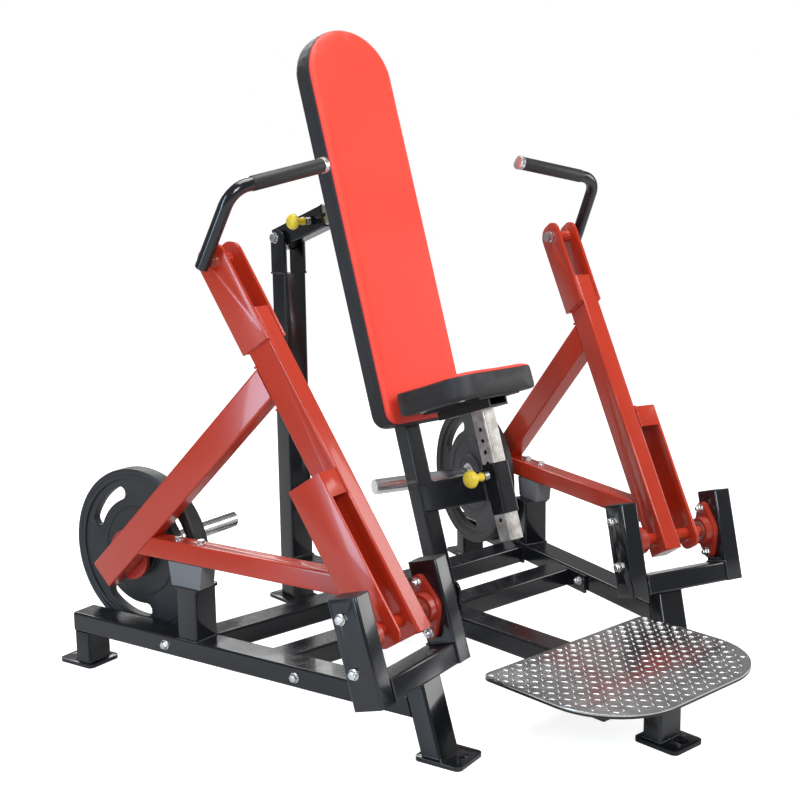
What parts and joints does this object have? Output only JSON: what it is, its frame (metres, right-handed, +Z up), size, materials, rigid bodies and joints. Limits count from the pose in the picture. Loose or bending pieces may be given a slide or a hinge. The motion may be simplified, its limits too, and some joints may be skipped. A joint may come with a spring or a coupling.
{
  "type": "plate-loaded seated press machine",
  "caption": "Seated press machine with two lever arms that swing on bearings and converge, weight horns behind, a sliding seat, a tilting back pad and a tread-plate footrest.",
  "frame": {"origin": "on the floor, on the plane midway between the two levers, level from front to back with a point just in front of the lever pivots", "axes": "+Z up, +Y towards the weight horns and mast, +X to the right for someone who stands in front and looks at the machine, so the sitter faces -Y"},
  "size_m": [1.5316, 1.557, 1.6413],
  "materials": {
    "black_coat": "gloss",
    "red_coat": "gloss",
    "bright_zinc": "satin",
    "galvanised": "satin",
    "chrome": "polished",
    "tread_plate": "polished",
    "grey_rubber": "matte",
    "black_rubber": "matte",
    "cast_housing": "satin",
    "black_plastic": "matte",
    "yellow_knob": "gloss",
    "bearing_steel": "satin",
    "red_vinyl": "satin",
    "end_metal": "satin"
  },
  "bodies": {
    "frame": {"left_rail": "black_coat", "right_rail": "black_coat", "left_rear_leg": "black_coat", "right_rear_leg": "black_coat", "left_front_leg": "black_coat", "right_front_leg": "black_coat", "left_pivot_bracket": "black_coat", "right_pivot_bracket": "black_coat", "left_bumper_post": "black_coat", "right_bumper_post": "black_coat", "rear_cross_tubes": "black_coat", "front_cross_tubes": "black_coat", "spine_tube": "black_coat", "platform_frame": "black_coat", "foot_platform": "tread_plate", "mast": "black_coat", "mast_foot": "black_coat", "frame_bolts": "bright_zinc", "bearing_housings": "red_coat", "bearing_bolts": "bright_zinc", "tube_caps": "black_plastic", "hinge_bolts": "bright_zinc"},
    "left_lever": {"left_main_tube": "red_coat", "left_back_arm": "red_coat", "left_strut": "red_coat", "left_gusset": "red_coat", "left_ears": "red_coat", "left_pivot_shaft": "bright_zinc", "left_bearing_rings": "bearing_steel", "left_bumper": "grey_rubber", "left_bumper_bolts": "bright_zinc", "left_weight_horn": "chrome"},
    "left_plate": {"left_weight_plate": "black_rubber"},
    "left_handle": {"left_handle_crank": "black_coat", "left_handle_grip": "black_rubber", "left_handle_pin": "bright_zinc"},
    "right_lever": {"right_main_tube": "red_coat", "right_back_arm": "red_coat", "right_strut": "red_coat", "right_gusset": "red_coat", "right_ears": "red_coat", "right_pivot_shaft": "bright_zinc", "right_bearing_rings": "bearing_steel", "right_bumper": "grey_rubber", "right_bumper_bolts": "bright_zinc", "right_weight_horn": "chrome"},
    "right_plate": {"right_weight_plate": "black_rubber"},
    "right_handle": {"right_handle_crank": "black_coat", "right_handle_grip": "black_rubber", "right_handle_pin": "bright_zinc"},
    "carriage": {"recline_post": "black_coat", "brace_lugs": "black_coat", "seat_arm": "black_coat", "back_pad": "red_vinyl"},
    "seat": {"seat_post": "galvanised", "seat_pad": "red_vinyl"},
    "seat_pull_pin": {"seat_pin": "yellow_knob"},
    "brace_tube": {"strut_tube": "black_coat"},
    "brace_slide": {"strut_slide": "galvanised"},
    "brace_pull_pin": {"strut_pin": "yellow_knob"}
  },
  "joints": [
    {"name": "left_lever_hinge", "type": "hinge", "parent": "frame", "child": "left_lever", "pos_m": [-0.48558, 0.00596, 0.306], "axis": [0.9664, 0.2571, 0], "range_deg": [0, 45]},
    {"name": "left_plate_slide", "type": "slide", "parent": "left_lever", "child": "left_plate", "axis": [0.9664, 0.2571, 0], "range_m": [0, 0.33]},
    {"name": "left_handle_swivel", "type": "hinge", "parent": "left_lever", "child": "left_handle", "pos_m": [-0.63615, 0.47245, 1.07549], "axis": [0.9664, 0.2571, 0], "range_deg": [-20, 40]},
    {"name": "right_lever_hinge", "type": "hinge", "parent": "frame", "child": "right_lever", "pos_m": [0.48558, 0.00596, 0.306], "axis": [0.9664, -0.2571, 0], "range_deg": [0, 45]},
    {"name": "right_plate_slide", "type": "slide", "parent": "right_lever", "child": "right_plate", "axis": [-0.9664, 0.2571, 0], "range_m": [0, 0.33]},
    {"name": "right_handle_swivel", "type": "hinge", "parent": "right_lever", "child": "right_handle", "pos_m": [0.63615, 0.47245, 1.07549], "axis": [0.9664, -0.2571, 0], "range_deg": [-20, 40]},
    {"name": "recline_tilt", "type": "hinge", "parent": "frame", "child": "carriage", "pos_m": [0, 0.368, 0.175], "axis": [1, 0, 0], "range_deg": [-3.06, 3.06]},
    {"name": "brace_hinge", "type": "hinge", "parent": "frame", "child": "brace_tube", "pos_m": [0, 1.02191, 1.08402], "axis": [1, 0, 0], "range_deg": [-1, 1]},
    {"name": "brace_extend", "type": "slide", "parent": "brace_tube", "child": "brace_slide", "axis": [0, -0.9511, 0.309], "range_m": [-0.058, 0.058]},
    {"name": "seat_height", "type": "slide", "parent": "carriage", "child": "seat", "axis": [0, 0.309, 0.9511], "range_m": [-0.0855, 0.057]},
    {"name": "seat_pin_pull", "type": "slide", "parent": "carriage", "child": "seat_pull_pin", "axis": [-1, 0, 0], "range_m": [0, 0.01], "stiffness_N_per_m": 400, "springref_m": -0.004},
    {"name": "brace_pin_pull", "type": "slide", "parent": "brace_tube", "child": "brace_pull_pin", "axis": [-1, 0, 0], "range_m": [0, 0.01], "stiffness_N_per_m": 400, "springref_m": -0.004}
  ],
  "couplings": [
    {"joint": "brace_hinge", "follows": "recline_tilt", "ratio": -0.19},
    {"joint": "brace_extend", "follows": "recline_tilt", "m_per_rad": 1.0647}
  ]
}
